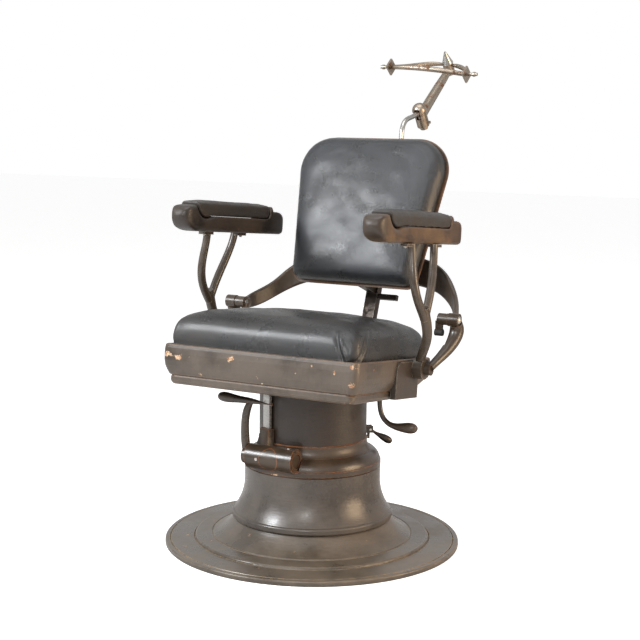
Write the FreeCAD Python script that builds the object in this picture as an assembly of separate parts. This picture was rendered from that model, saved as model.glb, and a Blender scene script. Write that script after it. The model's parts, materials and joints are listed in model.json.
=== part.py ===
import FreeCAD, Part
import math
import os

# An antique hydraulic barber chair. Millimetres, +Z up, the sitter faces -Y.
# The origin is on the floor, under the middle of the round base.

# ---- Fits and clearances ----
running_fit = 0.05
turning_gap = 0.3
free_gap = 0.6
service_gap = 1.0
bolt_radius = 4.0

# ---- Base plate ----
base_radius = 360.0
rim_height = 13.0
step_radius = 285.0
step_height = 21.5
cone_foot_radius = 241.0
cone_foot_height = 25.5
neck_radius = 190.0
neck_height = 66.0
pad_radius = 75.0
hub_radius = 62.0
hub_height = 34.0
web_thickness = 10.0
pivot_bush_radius = 26.0
pivot_pin_radius = 20.0

# ---- Bell, the skirt that stands on the base ----
bell_lip_radius = 196.5
bell_lip_height = 16.0
bell_waist_radius = 166.0
bell_top = 195.2
bell_bore_radius = 153.0
bell_wall = 9.0

# ---- Collar and column, which turn on the base ----
seam_gap = 0.8
collar_bottom = bell_top + seam_gap
collar_radius = 166.5
collar_lip_height = 14.0
collar_neck_radius = 133.0
collar_neck_top = 262.0
spigot_depth = 14.0
spigot_wall = 6.0
column_radius = 130.7
column_wall = 8.0
column_top = 376.0
cover_thickness = 6.0
floor_web_thickness = 12.0

# ---- Hydraulic cylinder and ram ----
cylinder_bore_radius = 54.0
cylinder_wall = 7.0
cylinder_foot = 44.0
cylinder_top = 356.0
cylinder_end_thickness = 12.0
ram_radius = 45.0
ram_wall = 7.0
ram_top = 400.0
piston_height = 26.0
seat_lift = 160.0
gland_height = 22.0

# ---- Pump boss on the collar ----
boss_radius = 29.0
boss_y = -160.0
boss_z = 236.0
boss_left = -82.0
boss_right = 44.0
crank_chamber_radius = 24.0
crank_chamber_left = -22.0
pump_shaft_radius = 12.0
pump_bush_wall = 4.0
crank_reach = 21.0
crank_waist_radius = 7.5
plunger_radius = 7.0
plunger_height = 222.0
plunger_x = -10.0
front_plug_radius = 25.0
front_plug_x = -17.0

# ---- Pump lever ----
lever_hub_radius = 20.0
lever_hub_width = 13.0
lever_rod_radius = 10.0
lever_head_z = 367.0

# ---- Guide bar, which keeps the seat square to the collar ----
guide_angle = -113.0
guide_radius = 138.0
guide_width = 24.0
guide_thickness = 7.0
guide_bottom = 134.0
throat_top = 298.0

# ---- Release lever, at the right of the column ----
release_angle = 41.0
release_pivot_radius = 143.0
release_pivot_z = 273.0
release_reach = 56.0
release_spindle_z = 254.0

# ---- Seat ----
seat_tilt = 7.0
seat_centre_z = 426.0
apron_half_width = 243.0
apron_flare = 15.0
apron_front = -276.0
apron_rear = 172.0
apron_height = 94.0
apron_corner_radius = 18.0
apron_wall = 10.0
apron_bead_height = 21.0
rail_thickness = 12.0
rail_width = 26.0
board_thickness = 12.0
cushion_height = 66.0
cushion_inset = 5.0
cushion_crown = 24.0
spider_thickness = 12.0

# ---- Arm posts and armrests ----
hub_y = 48.0
hub_z = 446.0
hub_boss_radius = 25.0
side_plate_thickness = 8.0
post_rod_radius = 10.0
arm_centre = 253.0
arm_half_width = 28.0
arm_tilt = 5.0
arm_bottom_z = 747.0
arm_front = -218.0
arm_rear = 252.0
arm_height = 70.0
arm_pad_floor = 38.0
arm_pad_front = -126.0
arm_pad_rear = 166.0

# ---- Back ----
knuckle_x = 299.0
knuckle_y = 126.0
knuckle_z = 557.0
knuckle_eye_radius = 14.0
knuckle_pin_radius = 7.0
carrier_eye_radius = 16.0
back_recline = 20.5
back_y = 178.0
back_z = 621.0
back_length = 390.0
back_half_width_low = 172.0
back_half_width_high = 219.0
back_corner_low = 30.0
back_corner_high = 92.0
back_pad_thickness = 22.0
back_shell_thickness = 6.0
back_shell_margin = 1.5
spine_depth = 148.0
spine_width = 32.0
screw_radius = 5.0
spine_thickness = 24.0
spine_bottom = -125.0
spine_top = 293.0
yoke_thickness = 12.0

# ---- Headrest ----
headrest_rod_radius = 6.5
clamp_y = 592.0
clamp_z = 1037.0
clamp_radius = 17.0
clamp_half_length = 30.0
arm_lean = 34.6
headrest_arm_length = 226.0
joint_radius = 15.0
joint_half_height = 10.0
joint_pin_radius = 5.0
clamp_tilt = 16.0
crossbar_half_width = 111.0
crossbar_rod_radius = 6.5
crossbar_roll = 5.4
flange_half_height = 23.0
flange_half_depth = 30.0

# ---- Recline lever, under the seat at the right ----
recline_pivot_x = 165.0
recline_pivot_y = 30.0
recline_pivot_z = 402.0

X_AXIS = FreeCAD.Vector(1, 0, 0)
Y_AXIS = FreeCAD.Vector(0, 1, 0)
Z_AXIS = FreeCAD.Vector(0, 0, 1)


# ---------------------------------------------------------------- helpers
def vec(x, y, z):
    return FreeCAD.Vector(x, y, z)


def save(name, *solids):
    """Write one node: a single solid, or a group of separate ones."""
    shape = solids[0] if len(solids) == 1 else Part.makeCompound(list(solids))
    if not shape.isValid():
        raise ValueError(name + " is not a valid shape")
    shape.exportStep("parts/" + name + ".step")
    print(name, len(shape.Solids), "solid", round(shape.Volume / 1000.0, 1), "cm3")


def outline(start, steps):
    """A closed wire in the XZ plane. A step is (x, z) for a line, or (xm, zm, x, z) for an arc through xm, zm."""
    edges = []
    here = vec(start[0], 0, start[1])
    for step in steps + [start]:
        there = vec(step[-2], 0, step[-1])
        if len(step) == 4:
            edges.append(Part.Arc(here, vec(step[0], 0, step[1]), there).toShape())
        elif here.distanceToPoint(there) > 1e-6:
            edges.append(Part.LineSegment(here, there).toShape())
        here = there
    return Part.Wire(edges)


def turned(start, steps):
    """A solid of revolution about +Z from an outline of (radius, z)."""
    return Part.Face(outline(start, steps)).revolve(vec(0, 0, 0), Z_AXIS, 360)


def drum(radius, low, high, centre=(0, 0), axis="z"):
    """A cylinder along one axis. centre holds the two other coordinates, in X, Y, Z order."""
    if axis == "x":
        return Part.makeCylinder(radius, high - low, vec(low, centre[0], centre[1]), X_AXIS)
    if axis == "y":
        return Part.makeCylinder(radius, high - low, vec(centre[0], low, centre[1]), Y_AXIS)
    return Part.makeCylinder(radius, high - low, vec(centre[0], centre[1], low), Z_AXIS)


def sleeve(outer, inner, low, high, centre=(0, 0), axis="z"):
    return drum(outer, low, high, centre, axis).cut(drum(inner, low - 1, high + 1, centre, axis))


def block(x, y, z):
    """A box from three (low, high) pairs."""
    return Part.makeBox(x[1] - x[0], y[1] - y[0], z[1] - z[0], vec(x[0], y[0], z[0]))


def rod(points, radii):
    """A round bar with a smooth centre line through the points, its radius given at each point."""
    spine = Part.BSplineCurve()
    spine.interpolate([vec(*p) for p in points])
    rings = []
    for point, radius in zip(points, radii):
        where = spine.parameter(vec(*point))
        rings.append(Part.Wire(Part.makeCircle(radius, vec(*point), vec(*spine.tangent(where)[0]))))
    return Part.makeLoft(rings, True, False)


def mirrored(shape):
    """The same piece on the other side of the chair."""
    return shape.mirror(vec(0, 0, 0), X_AXIS)


def tilted(shape, degrees, origin):
    """Lean a piece backwards about the X axis, then move its own origin to a place."""
    copy = shape.copy()
    copy.rotate(vec(0, 0, 0), X_AXIS, -degrees)
    copy.translate(vec(*origin))
    return copy


def at_angle(shape, degrees):
    """Turn a piece about the column from +X to another direction."""
    copy = shape.copy()
    copy.rotate(vec(0, 0, 0), Z_AXIS, degrees)
    return copy


def rounded_plate(half_width, front, rear, corner, low, high):
    """A flat plate with rounded corners, from low to high."""
    plate = block((-half_width, half_width), (front, rear), (low, high))
    upright = [e for e in plate.Edges if abs(e.Vertexes[0].Z - e.Vertexes[1].Z) > (high - low) / 2]
    return plate.makeFillet(corner, upright)


def hex_bolt(x, y, z, shank, across=13.0, head=8.0):
    """A hexagon-head bolt whose head stands on height z and whose shank goes down."""
    corners = [
        vec(x + across / 2 / math.cos(math.pi / 6) * math.cos(math.radians(60 * i)),
            y + across / 2 / math.cos(math.pi / 6) * math.sin(math.radians(60 * i)), z)
        for i in range(7)
    ]
    head_solid = Part.Face(Part.makePolygon(corners)).extrude(vec(0, 0, head))
    return head_solid.fuse(drum(bolt_radius, z - shank, z + 1, (x, y)))


def bolt_holes(places, low, high):
    """Clearance holes for a set of upright bolts."""
    return [drum(bolt_radius + 0.2, low, high, place) for place in places]


def circle_places(count, radius, start=0.0):
    step = 2 * math.pi / count
    return [(radius * math.cos(start + i * step), radius * math.sin(start + i * step)) for i in range(count)]


# ---------------------------------------------------------------- base
def make_base():
    rim_wall = 9.0
    plate = turned(
        (0, 0),
        [
            (pad_radius, 0),
            (pad_radius + 6, neck_height * 0.2),
            (cone_foot_radius - 12, neck_height * 0.2),
            (step_radius - 6, step_height - web_thickness),
            (base_radius - 32, rim_height - rim_wall),
            (base_radius - 28, 0),
            (base_radius - 4, 0),
            (base_radius - 1, 1, base_radius, 4),
            (base_radius, rim_height - 4.5),
            (base_radius - 1.2, rim_height - 1.2, base_radius - 5, rim_height),
            (base_radius - 11, rim_height),
            (base_radius - 12.5, rim_height - 2),
            (base_radius - 14, rim_height + 0.3),
            (step_radius + 5, rim_height + 2.5),
            (step_radius + 3.5, rim_height + 1),
            (step_radius + 2, rim_height + 2.5),
            (step_radius - 0.5, step_height - 1, step_radius - 5, step_height),
            (cone_foot_radius + 6, step_height + 2.5),
            (cone_foot_radius + 3, step_height + 1),
            (cone_foot_radius, cone_foot_height),
            (cone_foot_radius - 32, 45, neck_radius, neck_height),
            (neck_radius - 36, neck_height),
            (neck_radius - 36, neck_height - 10),
            (neck_radius - 10, neck_height - 10),
            (cone_foot_radius - 42, 42, cone_foot_radius - 20, 23),
            (hub_radius, 23),
            (hub_radius, hub_height),
            (pivot_bush_radius, hub_height),
            (pivot_bush_radius, 8),
            (0, 8),
        ],
    )
    bolt_places = circle_places(6, neck_radius - 21, 0.4)
    bolt_z = neck_height + 8
    save("base_plate", plate.cut(bolt_holes(bolt_places, neck_height - 20, neck_height + 20)))

    bell = turned(
        (neck_radius - 34, neck_height),
        [
            (bell_lip_radius - 4, neck_height),
            (bell_lip_radius - 1, neck_height + 1, bell_lip_radius, neck_height + 4),
            (bell_lip_radius, neck_height + bell_lip_height - 4),
            (bell_lip_radius - 1.5, neck_height + bell_lip_height - 1, bell_lip_radius - 5, neck_height + bell_lip_height + 1),
            (bell_waist_radius + 7, 119, bell_waist_radius, 164),
            (bell_waist_radius, bell_top - 1.5),
            (bell_waist_radius - 1.5, bell_top),
            (bell_bore_radius, bell_top),
            (bell_bore_radius, bell_top - spigot_depth - 3),
            (bell_waist_radius - bell_wall, 164),
            (bell_waist_radius + 7 - bell_wall, 119, bell_lip_radius - 5 - bell_wall, neck_height + bell_lip_height + 1),
            (bell_lip_radius - 5 - bell_wall, neck_height + 8),
            (neck_radius - 34, neck_height + 8),
        ],
    )
    save("base_bell", bell.cut(bolt_holes(bolt_places, neck_height - 5, bolt_z + 0.5)))
    save("base_bolts", *[hex_bolt(x, y, bolt_z, 20) for x, y in bolt_places])

    save("pivot_bush", sleeve(pivot_bush_radius, pivot_pin_radius + running_fit, 8, hub_height))
    save("thrust_washer", sleeve(hub_radius - 6, pivot_bush_radius + 2, hub_height, cylinder_foot - turning_gap))


# ---------------------------------------------------------------- collar and column
def guide_block(width, near, far, low, high):
    """A block across the guide bar's direction, between two radii."""
    return at_angle(block((near, far), (-width / 2, width / 2), (low, high)), guide_angle)


def guide_slot():
    near = guide_radius - guide_thickness / 2 - free_gap
    far = guide_radius + guide_thickness / 2 + free_gap
    return guide_block(guide_width + 2 * free_gap, near, far, collar_bottom - spigot_depth - 2, throat_top + 5)


def make_collar():
    inner = column_radius
    collar = turned(
        (inner, collar_bottom),
        [
            (collar_radius - 1.5, collar_bottom),
            (collar_radius, collar_bottom + 1.5),
            (collar_radius, collar_bottom + collar_lip_height - 2),
            (collar_radius - 0.6, collar_bottom + collar_lip_height - 0.6, collar_radius - 2, collar_bottom + collar_lip_height),
            (collar_radius - 8, collar_bottom + 29, collar_neck_radius + 8, collar_bottom + 40),
            (collar_neck_radius + 1.5, collar_bottom + 50, collar_neck_radius, collar_neck_top),
            (inner, collar_neck_top + 2),
        ],
    )
    floor_web = sleeve(inner + 4, cylinder_bore_radius + cylinder_wall, collar_bottom, collar_bottom + floor_web_thickness)
    spigot_outer = bell_bore_radius - turning_gap
    spigot = sleeve(spigot_outer, spigot_outer - spigot_wall, collar_bottom - spigot_depth, collar_bottom + 1)
    boss = drum(boss_radius, boss_left, boss_right, (boss_y, boss_z), "x")
    throat = Part.makeLoft(
        [
            Part.Wire(Part.makePolygon([vec(132, -w, z), vec(r, -w, z), vec(r, w, z), vec(132, w, z), vec(132, -w, z)]))
            for w, r, z in ((17, 147, throat_top), (18, 149, 280), (22, 154, 258), (26, 160, 236))
        ],
        True,
        True,
    )
    throat = at_angle(throat, guide_angle)
    body = collar.fuse([floor_web, spigot, boss, throat])
    chamber = drum(crank_chamber_radius, crank_chamber_left, boss_right + 6, (boss_y, boss_z), "x")
    bush_hole = drum(pump_shaft_radius + pump_bush_wall, boss_left - 1, crank_chamber_left + 1, (boss_y, boss_z), "x")
    plunger_hole = drum(plunger_radius + 0.6, boss_y, -100, (plunger_x, plunger_height), "y")
    barrel_hole = drum(plunger_radius + 6, -132, -100, (plunger_x, plunger_height), "y")
    window = front_window(front_plug_radius + 0.4, boss_radius + 3, crank_chamber_radius - 0.5)
    column_bore = drum(column_radius, collar_bottom + floor_web_thickness, throat_top + 20)
    bolts_at = [drum(bolt_radius + 0.2, collar_bottom - 2, collar_bottom + 14, place) for place in flange_places()]
    tools = [column_bore, chamber, bush_hole, plunger_hole, barrel_hole, window, guide_slot(), spindle_hole()]
    for tool in tools + bolts_at + list(pump_screw_shapes()):
        body = body.cut(tool)
    save("turret_collar", body.removeSplitter())


def flange_places():
    """Where the cylinder's flange is bolted to the collar's floor."""
    return circle_places(6, cylinder_bore_radius + cylinder_wall + 13, 0.91)


def spindle_hole():
    return at_angle(drum(4.4, 100, 180, (0, release_spindle_z), "x"), release_angle)


def pump_screw_shapes():
    lock_screw = drum(3.6, boss_y - boss_radius - 1.2, boss_y - boss_radius + 4, (front_plug_x - 31, boss_z), "y")
    oil_screw = drum(4.0, boss_z + boss_radius - 3, boss_z + boss_radius + 2, (26, boss_y - 4))
    return lock_screw, oil_screw


def front_window(radius, outer, inner):
    """The part of the boss wall that lies inside a round seam on its front."""
    wall = sleeve(outer, inner, boss_left, boss_right, (boss_y, boss_z), "x")
    return wall.common(drum(radius, boss_y - 60, boss_y - 8, (front_plug_x, boss_z), "y"))


def make_column():
    low = collar_bottom + floor_web_thickness
    column = turned(
        (column_radius - column_wall, low),
        [
            (column_radius, low),
            (column_radius, column_top + cover_thickness - 2),
            (column_radius - 2, column_top + cover_thickness),
            (ram_radius + 3, column_top + cover_thickness),
            (ram_radius + 3, column_top),
            (column_radius - column_wall, column_top),
        ],
    )
    plunger_hole = drum(plunger_radius + 6, -140, -100, (plunger_x, plunger_height), "y")
    save("column_tube", column.cut(plunger_hole).cut(spindle_hole()))

    foot = cylinder_foot
    outer = cylinder_bore_radius + cylinder_wall
    flange_low = collar_bottom + floor_web_thickness
    cylinder = turned(
        (0, 10),
        [
            (pivot_pin_radius, 10),
            (pivot_pin_radius, foot),
            (hub_radius - 8, foot),
            (outer, foot + 8),
            (outer, flange_low),
            (outer + 24, flange_low),
            (outer + 24, flange_low + 9),
            (outer, flange_low + 9),
            (outer, cylinder_top),
            (cylinder_bore_radius, cylinder_top),
            (cylinder_bore_radius, foot + cylinder_end_thickness),
            (0, foot + cylinder_end_thickness),
        ],
    )
    save("hydraulic_cylinder", cylinder.cut(bolt_holes(flange_places(), flange_low - 1, flange_low + 10)))
    save("cylinder_bolts", *[hex_bolt(x, y, flange_low + 9, 20) for x, y in flange_places()])

    gland_low = cylinder_top - gland_height + 8
    gland = turned(
        (ram_radius + running_fit, gland_low),
        [
            (cylinder_bore_radius, gland_low),
            (cylinder_bore_radius, cylinder_top),
            (outer + 2, cylinder_top),
            (outer + 2, cylinder_top + 8),
            (ram_radius + running_fit, cylinder_top + 8),
        ],
    )
    save("cylinder_gland", gland)
    save("gland_packing", sleeve(cylinder_bore_radius, ram_radius + 0.1, gland_low - 9, gland_low))


# ---------------------------------------------------------------- pump
def make_pump():
    cap = drum(crank_chamber_radius, boss_right - 5, boss_right + 1.5, (boss_y, boss_z), "x")
    dish = drum(crank_chamber_radius - 6, boss_right - 1.5, boss_right + 5, (boss_y, boss_z), "x")
    save("pump_end_cap", cap.cut(dish))
    save("pump_front_plug", front_window(front_plug_radius, boss_radius, crank_chamber_radius + 0.2))
    save("pump_screws", *pump_screw_shapes())
    bush_outer = pump_shaft_radius + pump_bush_wall
    bush = sleeve(bush_outer, pump_shaft_radius + running_fit, boss_left, crank_chamber_left, (boss_y, boss_z), "x")
    save("pump_shaft_bush", bush)

    shaft = drum(pump_shaft_radius, boss_left - lever_hub_width - 1, crank_chamber_left + 22, (boss_y, boss_z), "x")
    waist = sleeve(pump_shaft_radius + 1, crank_waist_radius, plunger_x - 9, plunger_x + 9, (boss_y, boss_z), "x")
    crank = block((plunger_x - 8, plunger_x + 8), (boss_y - 5, boss_y + 5), (boss_z - crank_reach, boss_z))
    save("pump_shaft", shaft.cut(waist).fuse(crank).removeSplitter())

    barrel_outer = plunger_radius + 5.5
    barrel_y = (-column_radius + 2, -cylinder_bore_radius - cylinder_wall - 0.5)
    barrel = drum(barrel_outer, barrel_y[0], barrel_y[1], (plunger_x, plunger_height), "y")
    bore = drum(plunger_radius + running_fit, barrel_y[0] - 1, barrel_y[1] - 8, (plunger_x, plunger_height), "y")
    trim = drum(cylinder_bore_radius + cylinder_wall + 24.2, 150, 222)
    save("pump_barrel", barrel.cut(bore).cut(trim))
    plunger_end = boss_y + 5 + service_gap
    plunger = drum(plunger_radius, plunger_end, plunger_end + 50, (plunger_x, plunger_height), "y")
    save("pump_plunger", plunger)

    hub_right = boss_left - service_gap
    hub_left = hub_right - lever_hub_width
    hub = drum(lever_hub_radius, hub_left, hub_right, (boss_y, boss_z), "x")
    hub = hub.cut(drum(pump_shaft_radius, hub_left - 1, hub_right + 1, (boss_y, boss_z), "x"))
    rise = lever_head_z - boss_z
    arm_x = hub_left + 3
    arm = rod(
        [
            (arm_x, boss_y, boss_z + 15),
            (arm_x - 3, boss_y, boss_z + 0.42 * rise),
            (arm_x - 2, boss_y, boss_z + 0.66 * rise),
            (arm_x + 4, boss_y, boss_z + 0.86 * rise),
            (arm_x + 14, boss_y, lever_head_z - 1),
        ],
        [lever_rod_radius * k for k in (0.95, 1.0, 0.95, 0.9, 0.6)],
    )
    head = rod(
        [
            (-168, boss_y, lever_head_z + 3),
            (-160, boss_y, lever_head_z + 3),
            (-140, boss_y, lever_head_z + 2),
            (-110, boss_y, lever_head_z + 1),
            (-70, boss_y, lever_head_z),
            (-22, boss_y, lever_head_z - 2),
        ],
        [7.5, 11.0, 11.5, 8.5, 6.0, 3.5],
    )
    save("pump_lever", hub.fuse([arm, head]).removeSplitter())


# ---------------------------------------------------------------- release lever and its valve
def make_release():
    inner = column_radius
    pivot = release_pivot_radius
    bracket = block((inner - 0.5, pivot + 7), (-9, 9), (release_pivot_z - 8, release_pivot_z + 9))
    bracket = bracket.cut(drum(column_radius, release_pivot_z - 20, release_pivot_z + 20))
    slot = block((column_radius + 1.5, pivot + 10), (-5 - turning_gap, 5 + turning_gap), (release_pivot_z - 20, release_pivot_z + 20))
    pin_hole = drum(3.0 + running_fit, -20, 20, (pivot, release_pivot_z), "y")
    save("release_bracket", at_angle(bracket.cut(slot).cut(pin_hole), release_angle))
    save("release_pin", at_angle(drum(3.0, -10, 10, (pivot, release_pivot_z), "y"), release_angle))

    eye = drum(6.5, -5, 5, (pivot, release_pivot_z), "y")
    heel = block((pivot - 5.5, pivot - 0.5), (-4, 4), (release_spindle_z - 4, release_pivot_z))
    tip = pivot + release_reach
    bar = rod(
        [
            (pivot + 2, 0, release_pivot_z),
            (pivot + 13, 0, release_pivot_z - 9),
            (pivot + 26, 0, release_pivot_z - 17),
            (pivot + 40, 0, release_pivot_z - 25),
            (tip - 3, 0, release_pivot_z - 33),
            (tip, 0, release_pivot_z - 35),
        ],
        [4.5, 3.6, 6.2, 9.0, 7.0, 3.0],
    )
    hole = drum(3.0 + running_fit, -20, 20, (pivot, release_pivot_z), "y")
    save("release_lever", at_angle(eye.fuse([heel, bar]).cut(hole).removeSplitter(), release_angle))

    spindle_z = release_spindle_z
    valve_near = cylinder_bore_radius + cylinder_wall
    spindle_end = pivot - 5.5 - service_gap
    spindle = drum(4.0, valve_near + 9, spindle_end, (0, spindle_z), "x")
    save("release_spindle", at_angle(spindle, release_angle))
    body = block((valve_near - 4, valve_near + 26), (-11, 11), (spindle_z - 11, spindle_z + 11))
    body = body.cut(drum(valve_near, spindle_z - 30, spindle_z + 30))
    body = body.cut(drum(4.0 + running_fit, valve_near + 4, valve_near + 40, (0, spindle_z), "x"))
    save("release_valve", at_angle(body, release_angle))


# ---------------------------------------------------------------- ram
def make_ram():
    piston_low = cylinder_foot + cylinder_end_thickness + 10
    piston_high = piston_low + piston_height
    tube = sleeve(ram_radius, ram_radius - ram_wall, piston_high, ram_top)
    save("ram_tube", tube)
    piston = drum(cylinder_bore_radius - running_fit, piston_low, piston_high)
    groove = sleeve(cylinder_bore_radius + 1, cylinder_bore_radius - 6, piston_low + 9, piston_low + 17)
    save("piston", piston.cut(groove))
    save("piston_packing", sleeve(cylinder_bore_radius - 0.1, cylinder_bore_radius - 6, piston_low + 9, piston_low + 17))


# ---------------------------------------------------------------- seat
def seat_place(shape):
    """Seat pieces are drawn level about the middle of the apron, then leaned back."""
    return tilted(shape, seat_tilt, (0, 0, seat_centre_z))


def seat_outline(inset, z, front_corner=apron_corner_radius, rear_corner=8.0):
    """The seat's outline at one height, pulled in by a distance. It is a little wider at the front."""
    front = apron_front + inset
    rear = apron_rear - inset
    bulge = 1 - math.sqrt(0.5)

    def side(y):
        return apron_half_width - inset + apron_flare * y / apron_front

    right = [
        (side(rear - rear_corner), rear - rear_corner),
        (side(front + front_corner), front + front_corner),
        (side(front) - bulge * front_corner, front + bulge * front_corner),
        (side(front) - front_corner, front),
    ]
    back = [
        (side(rear) - rear_corner, rear),
        (side(rear) - bulge * rear_corner, rear - bulge * rear_corner),
    ]
    r = [vec(x, y, z) for x, y in right + back]
    m = [vec(-p.x, p.y, z) for p in r]
    return Part.Wire([
        Part.LineSegment(r[0], r[1]).toShape(), Part.Arc(r[1], r[2], r[3]).toShape(),
        Part.LineSegment(r[3], m[3]).toShape(), Part.Arc(m[3], m[2], m[1]).toShape(),
        Part.LineSegment(m[1], m[0]).toShape(), Part.Arc(m[0], m[5], m[4]).toShape(),
        Part.LineSegment(m[4], r[4]).toShape(), Part.Arc(r[4], r[5], r[0]).toShape(),
    ])


def seat_slab(inset, low, high):
    return Part.Face(seat_outline(inset, low)).extrude(vec(0, 0, high - low))


def seat_stack(layers, front_corner=apron_corner_radius, rear_corner=8.0):
    """A solid through a list of outlines, each given as (inset, height)."""
    rings = [seat_outline(inset, z, front_corner, rear_corner) for inset, z in layers]
    slices = [Part.makeLoft([a, b], True, True) for a, b in zip(rings, rings[1:])]
    return slices[0].fuse(slices[1:]).removeSplitter()


def make_seat_frame():
    top = apron_height / 2
    low = -apron_height / 2
    step = low + apron_bead_height
    outer = seat_stack([
        (4.0, top), (1.5, top - 2), (0.5, top - 9), (0.0, top - 22), (0.5, top - 38), (2.5, top - 52),
        (6.0, top - 62), (10.0, step + 2), (12.0, step + 0.5), (14.5, step - 1), (13.0, step - 4),
        (13.0, low + 8), (15.0, low + 3), (18.0, low),
    ])
    wall = apron_wall + 15
    rail_low = top - board_thickness - 5 - rail_thickness
    rebate_low = rail_low + rail_thickness
    frame = outer.cut(seat_slab(wall, low - 1, top + 1)).cut(seat_slab(apron_wall, rebate_low, top + 1))
    chamfer = Part.Face(Part.makePolygon([
        vec(-300, 52, low - 1), vec(-300, 146, low + 44), vec(-300, 260, low + 44), vec(-300, 260, low - 1),
        vec(-300, 52, low - 1)])).extrude(vec(600, 0, 0))
    frame = frame.cut(chamfer)
    frame = seat_place(frame)
    save("seat_frame", frame)
    board_top = rebate_low + board_thickness
    save("seat_board", seat_place(seat_slab(apron_wall + turning_gap, rebate_low, board_top)))
    plug = seat_slab(apron_wall + turning_gap, board_top + 0.4, top + 2)
    crest = top + cushion_height
    cushion = seat_stack([
        (cushion_inset + 1, top + 0.5), (cushion_inset - 2, top + 18), (cushion_inset - 1, top + 38),
        (cushion_inset + 7, crest - 11), (cushion_inset + 24, crest), (70, crest + 0.5 * cushion_crown),
        (120, crest + 0.85 * cushion_crown), (165, crest + cushion_crown),
    ], 30, 30)
    save("seat_cushion", seat_place(cushion.fuse(plug).removeSplitter()))

    plate_high = rail_low
    plate_low = plate_high - spider_thickness
    reach = apron_half_width - apron_wall - 18
    cross = block((-reach, reach), (-50, 50), (plate_low, plate_high))
    long_arm = block((-50, 50), (apron_front + 30, apron_rear - 30), (plate_low, plate_high))
    plate = seat_place(cross.fuse(long_arm))
    hub_blank = drum(ram_radius + 14, ram_top - 12, seat_centre_z + 20)
    above = seat_place(block((-300, 300), (-300, 300), (plate_low + 2, 200)))
    socket = drum(ram_radius, ram_top - 13, ram_top)
    hub = hub_blank.cut(above).cut(socket)
    spider = plate.fuse(hub).removeSplitter()
    bolts = []
    for x, y in ((-190, -30), (-190, 30), (190, -30), (190, 30), (-30, -220), (30, -220)):
        bolt = hex_bolt(x, y, 0, spider_thickness)
        bolt.rotate(vec(x, y, 0), X_AXIS, 180)
        bolt.translate(vec(0, 0, plate_low))
        bolts.append(seat_place(bolt))
        spider = spider.cut(seat_place(drum(bolt_radius + 0.2, plate_low - 1, plate_high + 1, (x, y))))
    save("seat_spider", spider)
    save("spider_bolts", *bolts)

    bar_top_limit = seat_place(block((-300, 300), (-300, 300), (plate_low, 200)))
    bar = guide_block(guide_width, guide_radius - guide_thickness / 2, guide_radius + guide_thickness / 2,
                      guide_bottom, 520)
    save("guide_bar", bar.cut(bar_top_limit))

    reach_x = recline_pivot_x
    bracket = block((reach_x - 13, reach_x + 13), (recline_pivot_y - 14, recline_pivot_y + 14),
                    (recline_pivot_z - 10, 470)).cut(bar_top_limit)
    slot = block((reach_x - 20, reach_x + 20), (recline_pivot_y - 6 - turning_gap, recline_pivot_y + 6 + turning_gap),
                 (recline_pivot_z - 12, recline_pivot_z + 13))
    pin_hole = drum(4.0 + running_fit, recline_pivot_y - 20, recline_pivot_y + 20, (recline_pivot_x, recline_pivot_z), "y")
    save("recline_bracket", bracket.cut(slot).cut(pin_hole))
    save("recline_pin", drum(4.0, recline_pivot_y - 16, recline_pivot_y + 16, (recline_pivot_x, recline_pivot_z), "y"))
    return frame


def make_recline_lever():
    x = recline_pivot_x
    y = recline_pivot_y
    z = recline_pivot_z
    eye = drum(10, y - 6, y + 6, (x, z), "y")
    bar = rod(
        [
            (x, y, z - 4), (x, y, z - 32), (x + 2, y, z - 58), (x + 10, y, z - 80), (x + 26, y, z - 94),
            (x + 46, y, z - 99), (x + 68, y, z - 99), (x + 90, y, z - 98), (x + 100, y, z - 97),
        ],
        [6.0, 6.0, 6.0, 6.0, 6.4, 8.5, 12.0, 12.0, 5.0],
    )
    hole = drum(4.0 + running_fit, y - 20, y + 20, (x, z), "y")
    save("recline_lever", eye.fuse(bar).cut(hole).removeSplitter())


# ---------------------------------------------------------------- arm posts, armrests, back carriers
def both(shape):
    return [shape, mirrored(shape)]


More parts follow.
